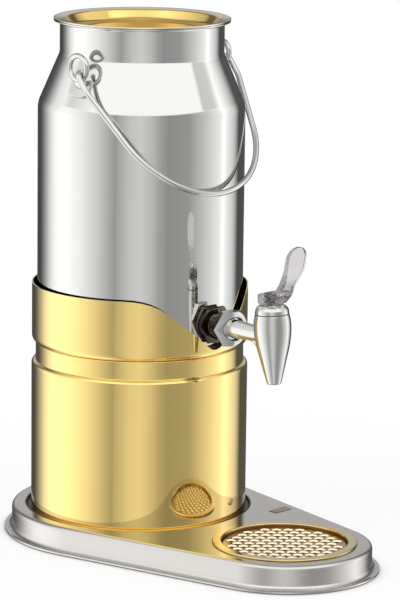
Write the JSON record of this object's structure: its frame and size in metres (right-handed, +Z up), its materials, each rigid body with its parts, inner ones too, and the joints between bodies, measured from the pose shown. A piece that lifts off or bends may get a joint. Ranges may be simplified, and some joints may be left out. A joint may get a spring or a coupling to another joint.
{
  "type": "milk dispenser",
  "caption": "Milk dispenser: lidded polished can with swing bail and lever tap, set in a gilt column on a teardrop steel base with a lift-out drip tray and honeycomb grille.",
  "frame": {"origin": "on the table under the middle of the base", "axes": "+Z up, +X from the can towards the tap and drip tray, +Y across the base"},
  "size_m": [0.3476, 0.217, 0.4163],
  "materials": {
    "base_steel": "satin",
    "foot_rubber": "matt black",
    "screw_steel": "plain",
    "gilt": "mirror-polished gilt sheet",
    "shelf_plastic": "moulded white",
    "pack_plastic": "moulded pale blue",
    "cap_plastic": "moulded blue",
    "can_steel": "mirror-polished stainless steel",
    "fitting_steel": "polished stainless steel",
    "seal_silicone": "clear silicone",
    "seal_rubber": "black rubber",
    "dark_steel": "polished",
    "tap_steel": "polished",
    "spring_steel": "bright stainless wire",
    "lever_plastic": "clear acrylic"
  },
  "bodies": {
    "base": {"base_tray": "base_steel", "base_feet": "foot_rubber", "base_screws": "screw_steel", "base_nuts": "screw_steel", "column_drum": "gilt", "collar": "gilt", "can_shelf": "shelf_plastic", "shelf_screws": "screw_steel", "shelf_nuts": "screw_steel", "cool_pack": "pack_plastic", "pack_cap": "cap_plastic"},
    "can": {"can_bottom": "can_steel", "can_body": "can_steel", "can_top": "can_steel", "left_ear": "fitting_steel", "right_ear": "fitting_steel", "inner_seal": "seal_silicone", "can_nipple": "fitting_steel", "outer_seal": "seal_rubber", "can_nut": "dark_steel", "union_nut": "tap_steel", "union_washer": "seal_silicone", "tap_body": "tap_steel", "bonnet_gasket": "seal_rubber", "bonnet": "tap_steel", "stem_ring": "seal_rubber", "return_spring": "spring_steel"},
    "lid": {"lid": "gilt"},
    "bail": {"bail": "fitting_steel"},
    "stem": {"stem": "spring_steel", "valve_plug": "seal_rubber"},
    "lever": {"lever": "lever_plastic", "lever_pin": "spring_steel"},
    "tray": {"drip_tray": "gilt"},
    "grille": {"drip_grille": "gilt"}
  },
  "joints": [
    {"name": "can_lift", "type": "slide", "parent": "base", "child": "can", "axis": [0, 0, 1], "range_m": [0, 0.07]},
    {"name": "lid_lift", "type": "slide", "parent": "can", "child": "lid", "axis": [0, 0, 1], "range_m": [0, 0.06]},
    {"name": "bail_swing", "type": "hinge", "parent": "can", "child": "bail", "pos_m": [-0.05185, 0, 0.38046], "axis": [0, -1, 0], "range_deg": [0, 244]},
    {"name": "stem_lift", "type": "slide", "parent": "can", "child": "stem", "axis": [-0.061, 0, 0.9981], "range_m": [0, 0.0045], "deforming": ["return_spring"]},
    {"name": "lever_tilt", "type": "hinge", "parent": "stem", "child": "lever", "pos_m": [0.08109, 0, 0.21204], "axis": [0, 1, 0], "range_deg": [0, 45], "stiffness_Nm_per_rad": 0.3, "springref_deg": -17.19},
    {"name": "tray_lift", "type": "slide", "parent": "base", "child": "tray", "axis": [0, 0, 1], "range_m": [0, 0.06]},
    {"name": "grille_lift", "type": "slide", "parent": "tray", "child": "grille", "axis": [0, 0, 1], "range_m": [0, 0.04]}
  ],
  "couplings": [
    {"joint": "stem_lift", "follows": "lever_tilt", "m_per_rad": 0.0056}
  ]
}
